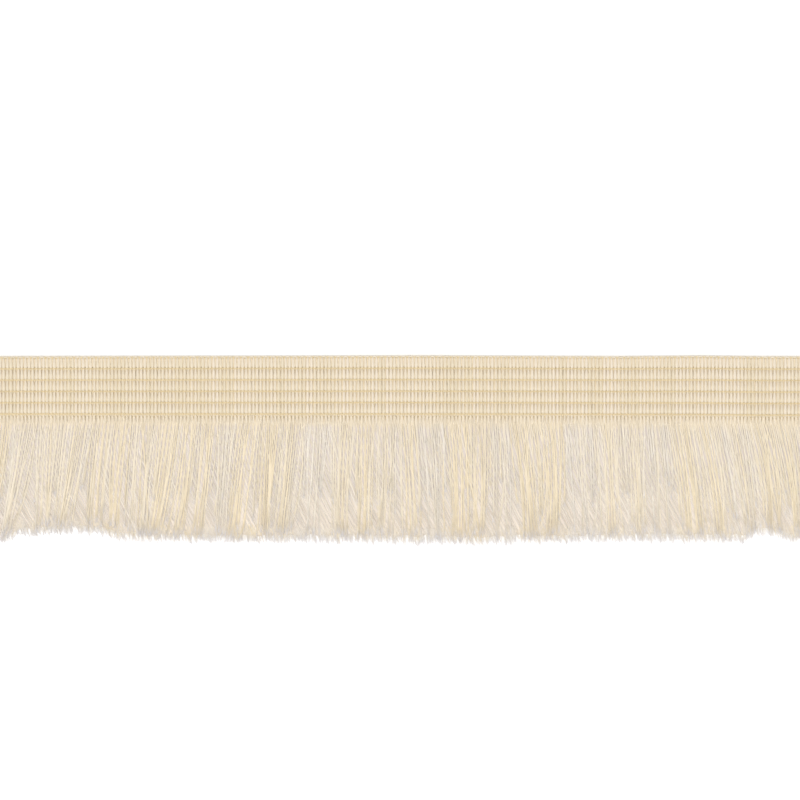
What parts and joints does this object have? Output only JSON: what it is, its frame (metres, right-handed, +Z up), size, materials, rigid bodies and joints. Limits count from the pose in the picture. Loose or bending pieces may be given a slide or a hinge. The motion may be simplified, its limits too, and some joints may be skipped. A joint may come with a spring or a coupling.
{
  "type": "fringe trim",
  "caption": "Cut length of knitted brush fringe: a ribbed heading tape bound by rows of chain stitch, with loose cut yarn ends hanging from its lower edge.",
  "frame": {"origin": "on the surface that the trim lies on, under the middle of its bounding box", "axes": "+X along the trim, +Y from the cut ends towards the heading's edge, +Z up out of the face"},
  "size_m": [0.2564, 0.055, 0.0019],
  "materials": {
    "weft_yarn": "soft matt cream yarn, knitted in ribs",
    "chain_thread": "fine tan thread in chain stitch",
    "cut_yarn": "loosened cream yarn ends with a faint sheen"
  },
  "bodies": {
    "root": {"heading": "weft_yarn", "chain_row_1": "chain_thread", "chain_row_2": "chain_thread", "chain_row_3": "chain_thread", "chain_row_4": "chain_thread", "chain_row_5": "chain_thread", "chain_row_6": "chain_thread", "fringe": "cut_yarn"}
  },
  "joints": []
}
